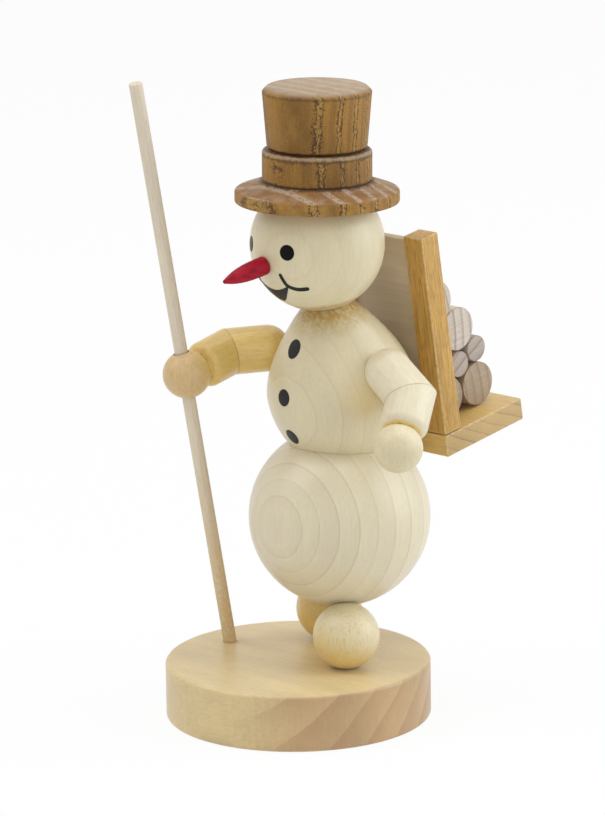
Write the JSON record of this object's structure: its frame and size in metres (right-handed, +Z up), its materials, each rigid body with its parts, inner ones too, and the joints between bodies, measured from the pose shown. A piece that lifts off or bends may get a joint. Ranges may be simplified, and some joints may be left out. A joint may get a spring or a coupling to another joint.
{
  "type": "wooden snowman figure",
  "caption": "Turned-wood snowman on a round base, with a hat, a carrot nose, a staff that lifts out of its hand, and a back carrier stacked with logs.",
  "frame": {"origin": "centre of the base's flat underside", "axes": "+Z up, figure faces -Y, its left is +X"},
  "size_m": [0.0684, 0.0864, 0.1459],
  "materials": {
    "base_disc": "waxed maple, pale golden, with growth rings across its edge",
    "foot_left": "waxed pale wood",
    "foot_right": "waxed pale wood",
    "foot_dowel_left": "raw beech dowel",
    "foot_dowel_right": "raw beech dowel",
    "belly_ball": "waxed pale wood with fine reddish growth rings",
    "waist_dowel": "raw beech dowel",
    "torso": "waxed pale wood with fine reddish growth rings",
    "neck_dowel": "raw beech dowel",
    "head_ball": "waxed pale wood with painted eyes and mouth",
    "nose": "matte crimson paint on wood",
    "hat_dowel": "raw beech dowel",
    "hat": "brown-stained ash with dark pores",
    "upper_arm_left": "waxed pale dowel",
    "forearm_left": "waxed pale dowel",
    "hand_left": "waxed pale wood",
    "upper_arm_right": "waxed golden dowel",
    "forearm_right": "waxed golden dowel",
    "hand_right": "waxed pale wood, drilled",
    "staff": "raw pinkish-beige rod",
    "carrier_panel": "pale thin board",
    "carrier_rail_left": "orange-brown beech with short dark flecks",
    "carrier_rail_right": "orange-brown beech with short dark flecks",
    "carrier_shelf": "orange-brown beech, sawn end grain",
    "carrier_dowel": "raw beech dowel",
    "log_lower_front": "sawn pinkish-grey log",
    "log_lower_rear": "sawn pinkish-grey log",
    "log_middle_front": "sawn pinkish-grey log",
    "log_middle_rear": "sawn pinkish-grey log",
    "log_upper": "sawn pinkish-grey log",
    "log_top": "sawn pinkish-grey log"
  },
  "bodies": {
    "figure": {"base_disc": "base_disc", "foot_left": "foot_left", "foot_right": "foot_right", "foot_dowel_left": "foot_dowel_left", "foot_dowel_right": "foot_dowel_right", "belly_ball": "belly_ball", "waist_dowel": "waist_dowel", "torso": "torso", "neck_dowel": "neck_dowel", "head_ball": "head_ball", "nose": "nose", "hat_dowel": "hat_dowel", "hat": "hat", "upper_arm_left": "upper_arm_left", "forearm_left": "forearm_left", "hand_left": "hand_left", "upper_arm_right": "upper_arm_right", "forearm_right": "forearm_right", "hand_right": "hand_right", "carrier_panel": "carrier_panel", "carrier_rail_left": "carrier_rail_left", "carrier_rail_right": "carrier_rail_right", "carrier_shelf": "carrier_shelf", "carrier_dowel": "carrier_dowel", "log_lower_front": "log_lower_front", "log_lower_rear": "log_lower_rear", "log_middle_front": "log_middle_front", "log_middle_rear": "log_middle_rear", "log_upper": "log_upper", "log_top": "log_top"},
    "staff": {"staff": "staff"}
  },
  "joints": [
    {"name": "staff_lift", "type": "slide", "parent": "figure", "child": "staff", "axis": [0, -0.184, 0.9829], "range_m": [0, 0.07]}
  ]
}
